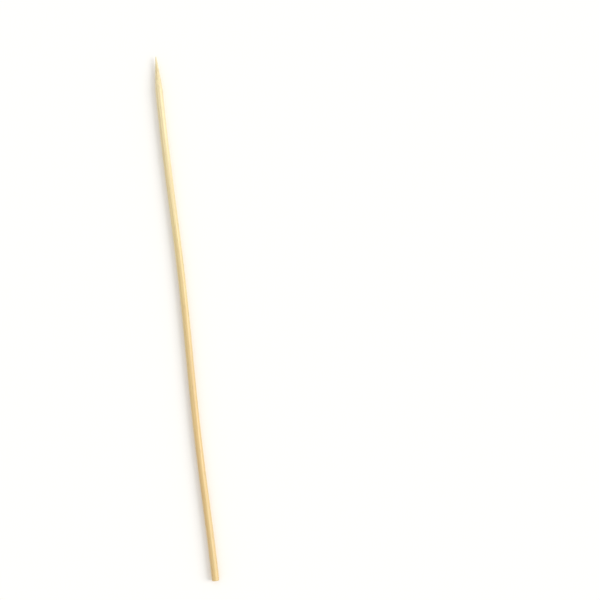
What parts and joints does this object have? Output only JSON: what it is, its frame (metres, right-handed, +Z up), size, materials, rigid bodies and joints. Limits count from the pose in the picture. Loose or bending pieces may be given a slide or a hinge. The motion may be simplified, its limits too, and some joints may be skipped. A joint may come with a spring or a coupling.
{
  "type": "bamboo skewer",
  "caption": "Slim round bamboo stick with a slight bow, ground to a sharp point at the tip and sawn square at the butt, for holding food.",
  "frame": {"origin": "on the surface that the skewer lies on, under the middle of its length and width", "axes": "+X along the stick towards the point, +Y to the side it bows near the point, +Z up"},
  "size_m": [0.25, 0.0042, 0.0035],
  "materials": {
    "bamboo": "bare bamboo, sanded, satin, with fine lengthwise fibres and open end grain"
  },
  "bodies": {
    "root": {"skewer": "bamboo"}
  },
  "joints": []
}
